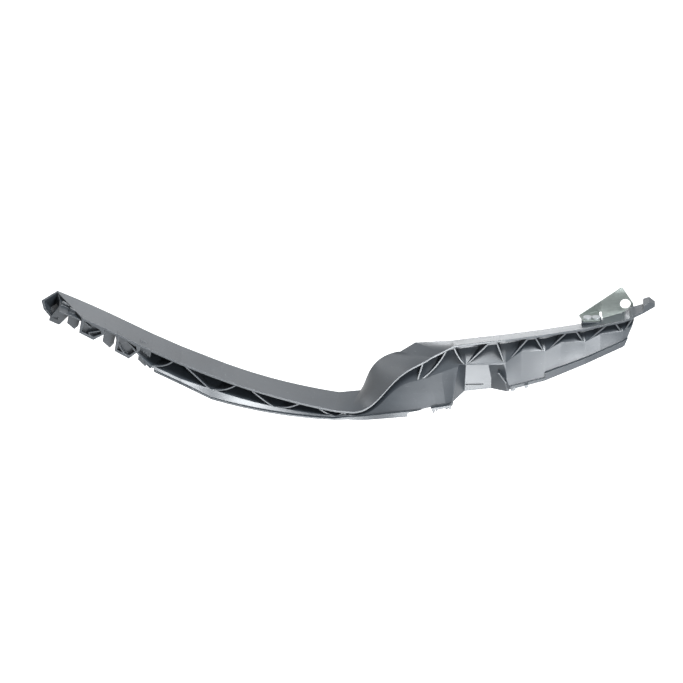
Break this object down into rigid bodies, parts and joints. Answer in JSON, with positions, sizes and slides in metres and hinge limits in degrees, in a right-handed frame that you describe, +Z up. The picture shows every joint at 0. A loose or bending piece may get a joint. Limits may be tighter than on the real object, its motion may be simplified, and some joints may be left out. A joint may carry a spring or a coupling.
{
  "type": "bumper mounting bracket",
  "caption": "Long moulded channel with a ramp, zigzag ribs and skin catches, with a folded steel plate riveted to its rear edge; it holds the edge of a bumper skin.",
  "frame": {"origin": "centre of the hole in the steel plate, on the plate's front face", "axes": "+X along the bracket from its pointed end to its finger, +Y through the plate's hole away from the open side of the channel, +Z up"},
  "size_m": [0.6014, 0.068, 0.1212],
  "materials": {
    "moulded_plastic": "satin moulded",
    "coated_steel": "zinc coated, satin",
    "rivet_metal": "satin"
  },
  "bodies": {
    "root": {"bracket_moulding": "moulded_plastic", "mounting_plate": "coated_steel", "plate_rivets": "rivet_metal"}
  },
  "joints": []
}
